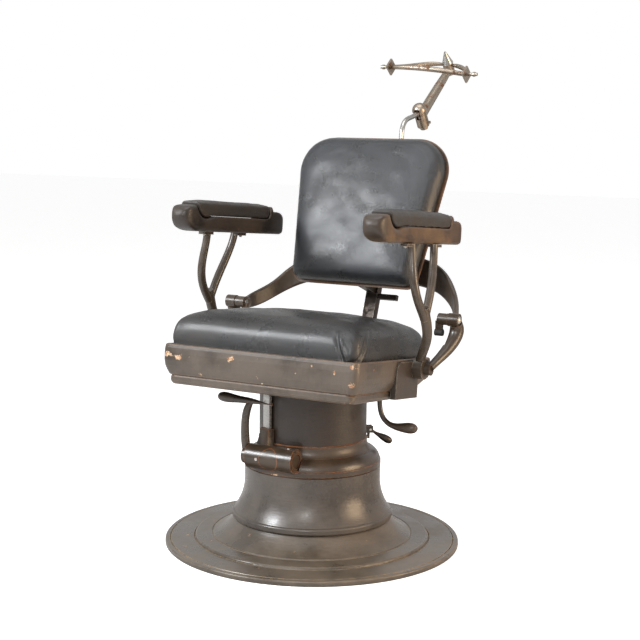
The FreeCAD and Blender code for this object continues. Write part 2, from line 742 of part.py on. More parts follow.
def make_sides(frame):
    """Build the right-hand pieces, and mirror them for the left."""
    face = apron_half_width
    plate = block((face - 6, face + side_plate_thickness), (-58, 62), (-45, 42))
    corners = [e for e in plate.Edges if abs(e.Vertexes[0].X - e.Vertexes[1].X) > 10 and e.BoundBox.ZMin > 40]
    plate = seat_place(plate.makeFillet(24, corners))
    save("side_plates", *both(plate.cut(frame)))

    out = face + side_plate_thickness
    boss = drum(hub_boss_radius, out, out + 24, (hub_y, hub_z), "x")
    bolt_hole = drum(8, out - 1, out + 30, (hub_y, hub_z), "x")
    stem = rod(
        [(out + 11, hub_y - 1, hub_z + 8), (out + 20, hub_y - 12, hub_z + 36), (293, 14, 530), (296, -6, 580), (296, -14, 602)],
        [11.0, 11.0, 11.5, 12.5, 12.0],
    )
    front = rod(
        [(296, -10, 574), (295, -34, 606), (291, -52, 645), (284, -53, 695), (277, -48, 750)],
        [post_rod_radius * k for k in (1.0, 1.0, 1.0, 0.95, 0.95)],
    )
    rear = rod(
        [(296, -8, 574), (295, 10, 606), (291, 36, 648), (284, 60, 690), (277, 78, 739)],
        [post_rod_radius * k for k in (1.0, 1.0, 1.0, 0.95, 0.95)],
    )
    low = arm_bottom_z
    feet = [tilted(block((263, 282), ends, (-7, -0.2)), arm_tilt, (0, 0, low)) for ends in ((-78, -40), (70, 112))]
    trim = tilted(block((200, 320), (-300, 300), (-0.2, 90)), arm_tilt, (0, 0, low))
    head_room = drum(12.2, out + 24, out + 60, (hub_y, hub_z), "x")
    post = boss.fuse([stem, front, rear] + feet).cut([trim, bolt_hole, head_room])
    save_pair("arm_post", post.removeSplitter())
    bolt = drum(8, out - 6, out + 26, (hub_y, hub_z), "x").fuse(drum(12, out + 24, out + 28, (hub_y, hub_z), "x"))
    bolt = bolt.cut(seat_place(block((0, face + side_plate_thickness), (-300, 300), (-60, 60))))
    save("hub_bolts", *both(bolt))

    across = 2 * arm_half_width + 20
    rest = stadium(arm_half_width, arm_front, arm_rear, -5, arm_height + 5)
    side_profile = Part.Face(outline_yz((arm_front, 34), [
        (arm_front + 9, 54, arm_front + 34, 62),
        (arm_pad_front - 10, arm_height),
        (arm_rear - 74, arm_height),
        (arm_rear - 70, arm_height - 14),
        (arm_rear - 10, arm_height - 26, arm_rear, 36),
        (arm_rear - 8, 12, arm_rear - 34, 0),
        (arm_front + 66, 0),
        (arm_front + 24, 10, arm_front, 34)])).extrude(vec(across, 0, 0))
    end_profile = rounded_bar(arm_half_width + 0.5, 14, -3, arm_height + 3, arm_front - 5, arm_rear + 5)
    rest = rest.common(moved(side_profile, -across / 2)).common(end_profile)
    notch = Part.Face(outline_yz((arm_pad_front - 42, arm_height + 1), [
        (arm_pad_front - 34, arm_pad_floor + 12, arm_pad_front + 20, arm_pad_floor),
        (arm_pad_rear - 14, arm_pad_floor),
        (arm_pad_rear - 2, arm_pad_floor + 4, arm_pad_rear, arm_pad_floor + 20),
        (arm_pad_rear + 10, arm_height + 1)])).extrude(vec(across, 0, 0))
    rest = rest.cut(moved(notch, -across / 2)).removeSplitter()
    save_pair("armrest", tilted(moved(rest, arm_centre), arm_tilt, (0, 0, arm_bottom_z)))

    pad = rounded_bar(arm_half_width - 1, 8, arm_pad_floor - 30, arm_height + 1.5, arm_front, arm_rear)
    inner = Part.Face(outline_yz((arm_pad_front - 39, arm_height + 8), [
        (arm_pad_front - 31, arm_pad_floor + 14, arm_pad_front + 21, arm_pad_floor + 0.6),
        (arm_pad_rear - 15, arm_pad_floor + 0.6),
        (arm_pad_rear - 4, arm_pad_floor + 5, arm_pad_rear - 2, arm_pad_floor + 20),
        (arm_pad_rear + 5, arm_height + 8)])).extrude(vec(across, 0, 0))
    pad = pad.common(moved(inner, -across / 2))
    save_pair("arm_pad", tilted(moved(pad, arm_centre), arm_tilt, (0, 0, arm_bottom_z)))

    screws = []
    for y in (-68, 98):
        head = Part.makeSphere(4.5, vec(271, y, -7)).common(block((260, 280), (y - 10, y + 10), (-12, -7)))
        screws += both(tilted(head, arm_tilt, (0, 0, arm_bottom_z)))
    save("arm_screws", *screws)

    carrier_bar = rod(
        [(out + 24 + 12, hub_y, hub_z + 4), (296, 84, 470), (308, 118, 497), (314, 137, 524), (315, 132, 548)],
        [10.0, 12.0, 15.5, 17.5, 15.0],
    )
    near = knuckle_x + service_gap / 2
    carrier_eye = drum(carrier_eye_radius, near, near + 26, (knuckle_y, knuckle_z), "x")
    carrier_hub = drum(14, out + 24, out + 40, (hub_y, hub_z), "x")
    inner_side = block((200, near), (knuckle_y - 40, knuckle_y + 60), (knuckle_z - 60, knuckle_z + 40))
    post_side = block((200, out + 24), (hub_y - 60, hub_y + 60), (hub_z - 60, hub_z + 60))
    hub_void = drum(12.2, out + 20, out + 28.2, (hub_y, hub_z), "x")
    pin_hole = drum(knuckle_pin_radius, near - 1, near + 30, (knuckle_y, knuckle_z), "x")
    carrier = carrier_bar.fuse([carrier_eye, carrier_hub]).cut(inner_side).cut(post_side).cut(hub_void).cut(pin_hole)
    save_pair("back_carrier", carrier)
    pin = drum(knuckle_pin_radius, knuckle_x - 30, near + 26, (knuckle_y, knuckle_z), "x")
    head = Part.makeSphere(12, vec(near + 19, knuckle_y, knuckle_z)).common(
        block((near + 26, near + 60), (0, 300), (400, 700)))
    save("knuckle_pins", *both(pin.fuse(head)))


def save_pair(name, shape):
    save(name + "_right", shape)
    save(name + "_left", mirrored(shape))


def moved(shape, x):
    copy = shape.copy()
    copy.translate(vec(x, 0, 0))
    return copy


def outline_yz(start, steps):
    """A closed wire in the YZ plane, written as outline() writes one in XZ."""
    wire = outline(start, steps)
    wire.rotate(vec(0, 0, 0), Z_AXIS, 90)
    return wire


def rounded_bar(half_width, corner, low, high, front, rear):
    """A long bar along Y with its four long edges rounded."""
    bar = block((-half_width, half_width), (front, rear), (low, high))
    return bar.makeFillet(corner, [e for e in bar.Edges if abs(e.Vertexes[0].Y - e.Vertexes[1].Y) > (rear - front) / 2])


def stadium(half_width, front, rear, low, high):
    """A long block with round ends, along Y."""
    body = block((-half_width, half_width), (front + half_width, rear - half_width), (low, high))
    ends = [drum(half_width, low, high, (0, front + half_width)), drum(half_width, low, high, (0, rear - half_width))]
    return body.fuse(ends).removeSplitter()


# ---------------------------------------------------------------- back
def back_place(shape):
    """Back pieces are drawn upright with their origin at the pad's lower front edge, then leaned back."""
    return tilted(shape, back_recline, (0, back_y, back_z))


def back_outline(margin, y):
    """The pad's outline: wider at the top, with large round corners there."""
    low = back_half_width_low + margin
    high = back_half_width_high + margin
    corners = [
        (-low, -margin, back_corner_low), (low, -margin, back_corner_low),
        (high, back_length + margin, back_corner_high), (-high, back_length + margin, back_corner_high),
    ]
    edges = []
    last = None
    first = None
    for i, (x, z, radius) in enumerate(corners):
        here = vec(x, y, z)
        before = vec(corners[i - 1][0], y, corners[i - 1][1])
        after = vec(corners[(i + 1) % 4][0], y, corners[(i + 1) % 4][1])
        a = (before - here).normalize()
        b = (after - here).normalize()
        half = a.getAngle(b) / 2
        start = here + a * (radius / math.tan(half))
        end = here + b * (radius / math.tan(half))
        middle = here + (a + b).normalize() * (radius / math.sin(half) - radius)
        if last is not None:
            edges.append(Part.LineSegment(last, start).toShape())
        else:
            first = start
        edges.append(Part.Arc(start, middle, end).toShape())
        last = end
    edges.append(Part.LineSegment(last, first).toShape())
    return Part.Wire(edges)


def make_back():
    pad = Part.Face(back_outline(0, 0)).extrude(vec(0, back_pad_thickness, 0))
    rim = [e for e in pad.Edges if e.BoundBox.YMax < 0.1]
    pad = pad.makeFillet(11, rim)
    crown = Part.Face(back_outline(-50, -12)).extrude(vec(0, 30, 0))
    save("back_pad", back_place(pad.fuse(crown).removeSplitter()))
    shell_near = back_pad_thickness + 0.4
    shell = Part.Face(back_outline(back_shell_margin, shell_near)).extrude(vec(0, back_shell_thickness, 0))
    save("back_shell", back_place(shell))

    spine_near = spine_depth - spine_thickness / 2
    channel = block((-spine_width / 2, spine_width / 2), (spine_near, spine_depth + spine_thickness / 2),
                    (spine_bottom, spine_top))
    rod_bore = drum(headrest_rod_radius + running_fit, 30, spine_top + 20, (0, spine_depth))
    shell_back = shell_near + back_shell_thickness
    stand_offs = []
    for z in (8, 244):
        stand_offs.append(block((-30, 30), (shell_back, shell_back + 8), (z, z + 26)))
        stand_offs.append(block((-9, 9), (shell_back, spine_near + 1), (z, z + 26)))
    catch = block((spine_width / 2 - 1, 72), (spine_near + 2, spine_near + 14), (-6, 8))
    clamp_z_local = spine_top - 24
    screw_hole = drum(screw_radius + running_fit, spine_depth, spine_depth + 20, (0, clamp_z_local), "y")
    spine = channel.fuse(stand_offs + [catch]).cut([rod_bore, screw_hole])
    save("back_spine", back_place(spine.removeSplitter()))
    screws = []
    for x in (-23, 23):
        for z in (21, 257):
            screws.append(back_place(drum(4.5, shell_back + 8, shell_back + 11, (x, z), "y")))
    save("spine_screws", *screws)

    path = [
        (knuckle_x - 14, 150, 553, 30), (292, 180, 553, 36), (278, 218, 564, 43), (256, 254, 584, 48), (222, 284, 613, 62),
        (170, 309, 636, 70), (95, 322, 646, 73), (0, 327, 649, 74),
    ]
    full = path + [(-x, y, z, h) for x, y, z, h in reversed(path[:-1])]
    line = Part.BSplineCurve()
    line.interpolate([vec(x, y, z) for x, y, z, h in full])
    sections = []
    for x, y, z, h in full:
        along = vec(*line.tangent(line.parameter(vec(x, y, z)))[0])
        lean = math.radians(back_recline * (1 - abs(x) / knuckle_x))
        up = vec(0, math.sin(lean), math.cos(lean))
        across = along.cross(up).normalize()
        sections.append(strap_section(vec(x, y, z), across, up, h / 2, yoke_thickness / 2))
    band = Part.makeLoft(sections, True, False)
    spine_space = back_place(block((-spine_width / 2 - 0.0, spine_width / 2), (spine_near, spine_depth + 60), (-200, 400)))
    eyes = []
    for s in (1, -1):
        low = min(s * (knuckle_x - 26), s * (knuckle_x - service_gap / 2))
        high = max(s * (knuckle_x - 26), s * (knuckle_x - service_gap / 2))
        eyes.append(drum(knuckle_eye_radius, low, high, (knuckle_y, knuckle_z), "x"))
        eyes.append(rod([(s * 284, knuckle_y + 2, knuckle_z - 1), (s * 285, 142, 554), (s * 286, 158, 552)], [12.0, 12.0, 12.0]))
        lug_x = sorted((s * 266, s * 282))
        eyes.append(block(lug_x, (knuckle_y - 6, knuckle_y + 6), (knuckle_z - 26, knuckle_z)))
    yoke = band.fuse(eyes)
    for s in (1, -1):
        eye_hole = drum(knuckle_pin_radius + running_fit, *sorted((s * 260, s * 310)), (knuckle_y, knuckle_z), "x")
        yoke = yoke.cut(eye_hole)
    bumpers = [drum(8.5, *sorted((s * 264, s * 284)), (knuckle_y, knuckle_z - 33), "x") for s in (1, -1)]
    save("back_yoke", yoke.cut(spine_space).cut(bumpers))
    save("stop_bumpers", *bumpers)

    screw_start = spine_depth + headrest_rod_radius + service_gap
    screw = drum(screw_radius, screw_start, spine_depth + spine_thickness / 2 + 16, (0, clamp_z_local), "y")
    wing = block((-16, 16), (spine_depth + spine_thickness / 2 + 12, spine_depth + spine_thickness / 2 + 17),
                 (clamp_z_local - 6, clamp_z_local + 6)).fuse(screw)
    save("headrest_clamp_screw", back_place(wing.removeSplitter()))


def strap_section(centre, across, upward, half_height, half_thickness):
    """A flat section with round top and bottom, for the yoke's strap."""
    up = upward * (half_height - half_thickness)
    tip = upward * half_height
    side = across * half_thickness
    right_top = centre + up + side
    left_top = centre + up - side
    left_low = centre - up - side
    right_low = centre - up + side
    return Part.Wire([
        Part.Arc(right_top, centre + tip, left_top).toShape(),
        Part.LineSegment(left_top, left_low).toShape(),
        Part.Arc(left_low, centre - tip, right_low).toShape(),
        Part.LineSegment(right_low, right_top).toShape(),
    ])


# ---------------------------------------------------------------- headrest
def make_headrest():
    lean = math.radians(back_recline)
    along = vec(0, math.sin(lean), math.cos(lean))
    line_start = vec(0, back_y, back_z) + vec(0, math.cos(lean), -math.sin(lean)) * spine_depth
    low = line_start + along * 80
    high = line_start + along * (back_length + 50)
    straight = Part.makeCylinder(headrest_rod_radius, (high - low).Length, low, along)
    hook = rod(
        [
            tuple(high - along * 4), (0, high.y + 2, high.z + 18), (0, high.y + 12, high.z + 36),
            (0, high.y + 34, high.z + 48), (0, high.y + 72, clamp_z), (0, clamp_y, clamp_z),
        ],
        [headrest_rod_radius] * 6,
    )
    ball = Part.makeSphere(11, vec(0, clamp_y, clamp_z))
    save("headrest_post", straight.fuse([hook, ball]))

    # The clamp is drawn upright about its own centre, then leaned so that its arm points up and back.
    body = drum(clamp_radius, -clamp_half_length, clamp_half_length)
    dome = Part.makeSphere(clamp_radius + 3, vec(0, 0, clamp_half_length - 10)).common(
        drum(clamp_radius + 4, clamp_half_length - 10, clamp_half_length + 12))
    length = headrest_arm_length
    tube = rod([(0, 12, 2), (0, 60, 3), (0, 140, 4), (0, length, 4)], [14.0, 13.5, 12.5, 9.4])
    lump = Part.makeSphere(5, vec(0, 104, -9))
    joint = drum(joint_radius, 4 - joint_half_height, 4 + joint_half_height, (0, length))
    hollow = Part.makeSphere(11 + turning_gap, vec(0, 0, 0))
    pin_hole = drum(joint_pin_radius + running_fit, -40, 40, (0, length))
    arm = body.fuse([dome, tube, lump, joint]).cut([hollow, post_slot(), pin_hole])
    save("headrest_arm", clamp_place(arm))
    nut = drum(11, -clamp_half_length - 9, -clamp_half_length)
    screw = drum(4, clamp_radius - 1, clamp_radius + 7, (-2, -18), "x").cut(body)
    save("clamp_fasteners", clamp_place(nut), clamp_place(screw))

    top = 4 + joint_half_height
    place = clamp_place(Part.Vertex(0, length, top + 6.5)).Point
    yoke_boss = clamp_place(drum(joint_radius, top + turning_gap, top + 12.5 - turning_gap, (0, length)))
    yoke_hole = clamp_place(drum(joint_pin_radius + running_fit, top - 5, top + 15, (0, length)))
    cone_room = clamp_place(drum(16 + free_gap, top + 12.5 - turning_gap, top + 55, (0, length)))
    save("headrest_yoke", make_crossbar(place).fuse(yoke_boss).cut([yoke_hole, cone_room]))
    cone = Part.makeCone(16, 2.5, 36, vec(0, length, top + 12.5), Z_AXIS)
    low_face = 4 - joint_half_height
    stem = drum(joint_pin_radius, low_face - 1, top + 13, (0, length))
    foot = drum(9, low_face - 6, low_face - 0.5, (0, length))
    save("cone_nut", clamp_place(cone.fuse([stem, foot])))


def clamp_place(shape):
    return tilted(shape, -arm_lean, (0, clamp_y, clamp_z))


def post_slot():
    """The slot that lets the clamp tilt over the end of its post."""
    half = headrest_rod_radius + free_gap * 2
    reach = clamp_radius * 3
    slot = block((-half, half), (-reach, 0), (-half, half))
    pieces = []
    for i in range(-2, 3):
        step = slot.copy()
        step.rotate(vec(0, 0, 0), X_AXIS, -arm_lean + i * clamp_tilt / 2)
        pieces.append(step)
    return pieces[0].fuse(pieces[1:])


def make_crossbar(joint):
    """The open frame that once held a head pad: a front rod, two end plates and two bars to the joint."""
    r = crossbar_rod_radius
    half = crossbar_half_width
    fall = math.tan(math.radians(crossbar_roll))

    def at(x, y, z):
        return (joint.x + x, joint.y + y, joint.z + z - x * fall)

    front = rod([at(-half, -134, -21), at(-half * 0.6, -145, -18), at(0, -150, -16), at(half * 0.6, -145, -18),
                 at(half, -134, -21)], [r, r * 1.05, r * 1.15, r * 1.05, r])
    bars = []
    for s in (1, -1):
        tips = [(-134, -21 - flange_half_height), (-134 + flange_half_depth, -21),
                (-134, -21 + flange_half_height), (-134 - flange_half_depth, -21)]
        corners = [vec(*at(s * half, y, z)) for y, z in tips + tips[:1]]
        bars.append(Part.Face(Part.makePolygon(corners)).extrude(vec(s * 5, 0, 0)))
        bars.append(rod([at(s * 11, 0, -1.2), at(s * 45, -20, -3), at(s * 85, -68, -13), at(s * (half - 6), -112, -19),
                         at(s * (half + 1), -128, -21)], [r * 0.55, r, r * 0.9, r * 0.9, r * 0.9]))
        x, y, z = at(s * half, -134, -21)
        bars.append(drum(4.5, *sorted((x + s * 4, x + s * 34)), (y, z), "x"))
        bars.append(drum(6.5, *sorted((x + s * 22, x + s * 28)), (y, z), "x"))
    return front.fuse(bars)


os.makedirs("parts", exist_ok=True)
make_base()
make_collar()
make_column()
make_pump()
make_release()
make_ram()
seat_frame = make_seat_frame()
make_recline_lever()
make_sides(seat_frame)
make_back()
make_headrest()
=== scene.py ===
# %% [markdown]
# # An antique hydraulic barber chair
#
# This lesson dresses that model: every casting, lever and screw gets a finish, and the four leather
# pads are made afresh as stuffed leather. Nothing of the engineering model is moved or changed.

import json
import math

import bpy
from mathutils import Matrix, Vector, noise


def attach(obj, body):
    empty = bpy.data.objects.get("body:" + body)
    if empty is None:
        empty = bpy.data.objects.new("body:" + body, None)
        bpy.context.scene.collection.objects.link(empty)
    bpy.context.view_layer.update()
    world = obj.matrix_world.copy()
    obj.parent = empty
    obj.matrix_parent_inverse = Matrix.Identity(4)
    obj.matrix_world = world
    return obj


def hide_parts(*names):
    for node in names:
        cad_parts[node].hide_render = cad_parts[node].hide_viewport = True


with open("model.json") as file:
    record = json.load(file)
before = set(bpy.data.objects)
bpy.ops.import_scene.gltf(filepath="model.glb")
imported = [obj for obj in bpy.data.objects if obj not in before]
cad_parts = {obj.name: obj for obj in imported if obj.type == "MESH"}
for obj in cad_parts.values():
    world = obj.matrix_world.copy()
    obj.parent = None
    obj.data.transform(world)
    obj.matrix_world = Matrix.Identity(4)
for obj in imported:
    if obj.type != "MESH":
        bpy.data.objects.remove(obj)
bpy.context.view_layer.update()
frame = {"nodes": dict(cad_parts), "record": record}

# %% [markdown]
# Colours are easier to think of as the 0 to 255 numbers that a paint chart gives. Blender works in
# linear light, so one helper turns the chart's numbers into Blender's.


# %% Colours
def tint(red, green, blue):
    """A paint-chart colour as Blender's linear colour."""
    linear = []
    for part in (red, green, blue):
        share = part / 255
        linear.append(share / 12.92 if share <= 0.04045 else ((share + 0.055) / 1.055) ** 2.4)
    return (*linear, 1.0)


CREAM_FILLER = tint(214, 190, 158)
BARE_ORANGE = tint(150, 92, 52)
WORN_BROWN = tint(104, 78, 55)
RUST = tint(112, 64, 36)
# The dark brown of the painted shade in the enamel's corners.
SHADE_BROWN = tint(38, 28, 20)
print("cream filler in linear light:", CREAM_FILLER)

# %% [markdown]
# A material is a small network of nodes. Wiring each by hand takes many lines, so two helpers add a
# node with its settings and inputs at once, and mix two colours. A third starts a node group, which is
# an effect that is built once and then used in many materials with other values.


# %% Helpers that wire nodes
def add(tree, kind, inputs=None, **settings):
    """A node of that kind: settings first, then inputs, each a number, a colour or another node's socket."""
    made = tree.nodes.new(kind)
    for key, value in settings.items():
        setattr(made, key, value)
    for key, value in (inputs or {}).items():
        if isinstance(value, bpy.types.NodeSocket):
            tree.links.new(value, made.inputs[key])
        else:
            made.inputs[key].default_value = value
    return made


def blend_colour(tree, share, first, second):
    """The first colour where share is 0 and the second where it is 1."""
    mixer = add(tree, "ShaderNodeMix", {0: share, 6: first, 7: second}, data_type="RGBA")
    return mixer.outputs[2]


def maths(tree, operation, first, second=0.0, clamp=False):
    """One sum on one or two values."""
    return add(tree, "ShaderNodeMath", {0: first, 1: second}, operation=operation, use_clamp=clamp).outputs[0]


def ramp(tree, value, low, high, start=0.0, end=1.0):
    """Rises smoothly from start to end as value goes from low to high."""
    inputs = {"Value": value, "From Min": low, "From Max": high, "To Min": start, "To Max": end}
    return add(tree, "ShaderNodeMapRange", inputs, interpolation_type="SMOOTHSTEP").outputs[0]


SOCKET_KINDS = {"value": "NodeSocketFloat", "colour": "NodeSocketColor", "vector": "NodeSocketVector"}


def start_group(name, inputs, outputs):
    """An empty node group with those sockets, and its inner input and output nodes."""
    tree = bpy.data.node_groups.new(name, "ShaderNodeTree")
    for label, kind in inputs.items():
        tree.interface.new_socket(label, in_out="INPUT", socket_type=SOCKET_KINDS[kind])
    for label, kind in outputs.items():
        tree.interface.new_socket(label, in_out="OUTPUT", socket_type=SOCKET_KINDS[kind])
    return tree, tree.nodes.new("NodeGroupInput").outputs, tree.nodes.new("NodeGroupOutput").inputs


print("sockets a group can have:", sorted(SOCKET_KINDS))

# %% [markdown]
# Old paint is never one colour. Large soft clouds of a darker and a lighter tone, broken by finer ones,
# make a surface look handled. A noise texture read in the piece's own space gives both, and stays put
# when a joint turns the piece.


# %% Cloudy colour, a node group
cloudy, given, result = start_group(
    "cloudy colour",
    {"Vector": "vector", "Scale": "value", "Dark": "colour", "Light": "colour"},
    {"Colour": "colour", "Value": "value"},
)
clouds = add(cloudy, "ShaderNodeTexNoise", {"Vector": given["Vector"], "Scale": given["Scale"], "Detail": 7, "Roughness": 0.62})
cloud_value = ramp(cloudy, clouds.outputs[0], 0.34, 0.66)
cloudy.links.new(blend_colour(cloudy, cloud_value, given["Dark"], given["Light"]), result["Colour"])
cloudy.links.new(cloud_value, result["Value"])
print(cloudy.name, "has", len(cloudy.nodes), "nodes")

# %% [markdown]
# Hands and cloths rub paint off along the edges first. The Bevel node looks round a corner and gives
# the normal that a rounded corner would have: where that differs from the true normal, there is an
# edge. Noise breaks the line up, because wear is never even.

# %% Rubbed edges, a node group
rubbed, given, result = start_group(
    "rubbed edges", {"Vector": "vector", "Width": "value", "Amount": "value"}, {"Mask": "value"}
)
rounded = add(rubbed, "ShaderNodeBevel", {"Radius": given["Width"]}, samples=4)
true_normal = add(rubbed, "ShaderNodeNewGeometry").outputs["Normal"]
turned = add(rubbed, "ShaderNodeVectorMath", {0: rounded.outputs[0], 1: true_normal}, operation="DOT_PRODUCT")
bend = maths(rubbed, "SUBTRACT", 1.0, turned.outputs["Value"])
patchy = add(rubbed, "ShaderNodeTexNoise", {"Vector": given["Vector"], "Scale": 60, "Detail": 5, "Roughness": 0.7})
strength = maths(rubbed, "MULTIPLY", ramp(rubbed, patchy.outputs[0], 0.32, 0.68), given["Amount"])
edge_share = maths(rubbed, "MULTIPLY", maths(rubbed, "MULTIPLY", bend, 9.0), strength, clamp=True)
rubbed.links.new(edge_share, result["Mask"])
print(rubbed.name, "has", len(rubbed.nodes), "nodes")

# %% [markdown]
# Where old enamel was knocked, it flaked off in small islands with sharp shores. A noise texture cut
# off at a high level leaves just its peaks, which are such islands. A second, lower cut-off gives each
# island the dark shore of lifted paint.

# %% Chips, a node group
chips, given, result = start_group(
    "chips", {"Vector": "vector", "Scale": "value", "Level": "value"}, {"Mask": "value", "Shore": "value"}
)
coarse = add(chips, "ShaderNodeTexNoise", {"Vector": given["Vector"], "Scale": given["Scale"], "Detail": 8, "Roughness": 0.68})
chip_top = maths(chips, "SUBTRACT", coarse.outputs[0], given["Level"])
chips.links.new(ramp(chips, chip_top, 0.0, 0.006), result["Mask"])
chips.links.new(ramp(chips, chip_top, -0.02, 0.0), result["Shore"])
print(chips.name, "has", len(chips.nodes), "nodes")

# %% [markdown]
# Corners, the undersides of lips and the gaps between parts are darkened: on the enamel this is
# painted shade, on the metals it is tarnish in the hollows. The Ambient Occlusion node measures how
# closed in a point is.

# %% Painted shade and tarnish in the corners, a node group
shade_tarnish_group, given, result = start_group("shade_tarnish_group", {"Vector": "vector", "Reach": "value"}, {"Mask": "value"})
closed_in = add(shade_tarnish_group, "ShaderNodeAmbientOcclusion", {"Distance": given["Reach"]}, samples=4)
unevenness = add(shade_tarnish_group, "ShaderNodeTexNoise", {"Vector": given["Vector"], "Scale": 30, "Detail": 4})
open_share = maths(shade_tarnish_group, "ADD", closed_in.outputs["AO"], maths(shade_tarnish_group, "MULTIPLY", unevenness.outputs[0], 0.3))
shade_tarnish_group.links.new(ramp(shade_tarnish_group, open_share, 1.0, 0.55), result["Mask"])
print(shade_tarnish_group.name, "has", len(shade_tarnish_group.nodes), "nodes")

# %% [markdown]
# Paint brushed round a column leaves fine level lines, and a turned or filed metal face shows the same
# at a smaller size. Noise that is squeezed in one direction makes them.

# %% Brush lines, a node group
brushed, given, result = start_group("brush lines", {"Vector": "vector", "Stretch": "vector"}, {"Value": "value"})
squeezed = add(brushed, "ShaderNodeVectorMath", {0: given["Vector"], 1: given["Stretch"]}, operation="MULTIPLY")
lines = add(brushed, "ShaderNodeTexNoise", {"Vector": squeezed.outputs[0], "Scale": 1.0, "Detail": 4, "Roughness": 0.6})
brushed.links.new(ramp(brushed, lines.outputs[0], 0.3, 0.7), result["Value"])
print(brushed.name, "has", len(brushed.nodes), "nodes")

# %% [markdown]
# Leather has a skin of tiny plates, about a millimetre across, with valleys between them, and wider,
# softer creases over those. Voronoi cells are such plates: the distance to the nearest cell edge is
# the height of the skin.

# %% Leather grain, a node group
grain, given, result = start_group(
    "leather grain", {"Vector": "vector", "Plates": "value"}, {"Height": "value", "Worn": "value"}
)
plates = add(grain, "ShaderNodeTexVoronoi", {"Vector": given["Vector"], "Scale": given["Plates"]}, feature="DISTANCE_TO_EDGE")
creases = add(grain, "ShaderNodeTexNoise", {"Vector": given["Vector"], "Scale": 45, "Detail": 6, "Roughness": 0.7, "Distortion": 0.6})
skin = ramp(grain, plates.outputs["Distance"], 0.0, 0.25)
skin = maths(grain, "ADD", maths(grain, "MULTIPLY", skin, 0.5), creases.outputs[0])
grain.links.new(skin, result["Height"])
rubbing = add(grain, "ShaderNodeTexNoise", {"Vector": given["Vector"], "Scale": 7, "Detail": 6, "Roughness": 0.65})
grain.links.new(ramp(grain, rubbing.outputs[0], 0.38, 0.68), result["Worn"])
print(grain.name, "has", len(grain.nodes), "nodes")


# %% [markdown]
# Every finish starts the same way: a material with one Principled shader, and the piece's own Object
# coordinates, which are metres here. Big chips are where this very chair was knocked, so they are
# given as places on it: each is a centre and a reach, and noise frays its outline.


# %% Start a finish
def start_finish(name):
    """A new material, its node tree, its shader and the piece's own coordinates."""
    material = bpy.data.materials.new(name)
    material.use_nodes = True
    tree = material.node_tree
    place = add(tree, "ShaderNodeTexCoord").outputs["Object"]
    return material, tree, tree.nodes["Principled BSDF"], place


def use(tree, group, inputs):
    """Places a node group in a material with its own values."""
    return add(tree, "ShaderNodeGroup", inputs, node_tree=group).outputs


def knocked_places(tree, place, spots):
    """A mask that is 1 inside any of the spots, each of them (centre, reach across X, reach across Z)."""
    fray = add(tree, "ShaderNodeTexNoise", {"Vector": place, "Scale": 95, "Detail": 6, "Roughness": 0.7}).outputs[0]
    nearest = 9.0
    for centre, wide, high in spots:
        away = add(tree, "ShaderNodeVectorMath", {0: place, 1: centre}, operation="SUBTRACT").outputs[0]
        scaled = add(tree, "ShaderNodeVectorMath", {0: away, 1: (1 / wide, 1 / wide, 1 / high)}, operation="MULTIPLY")
        length = add(tree, "ShaderNodeVectorMath", {0: scaled.outputs[0]}, operation="LENGTH").outputs["Value"]
        nearest = maths(tree, "MINIMUM", length, nearest)
    frayed = maths(tree, "ADD", nearest, maths(tree, "MULTIPLY", fray, 3.2))
    return ramp(tree, frayed, 2.16, 2.06), ramp(tree, frayed, 2.36, 2.16)


def set_bump(tree, shader, height, depth, strength=1.0):
    """Turns a height from 0 to 1 into bumps that many metres deep."""
    bump = add(tree, "ShaderNodeBump", {"Height": height, "Distance": depth, "Strength": strength})
    tree.links.new(bump.outputs[0], shader.inputs["Normal"])


# %% [markdown]
# The castings were enamelled in a warm dark grey. It has gone brown with age, shows brush lines, and
# has chipped down to a cream filler and bare orange iron. One function makes all of its versions: the
# pieces differ in tone, in how much is rubbed off their edges, and in where they were knocked.


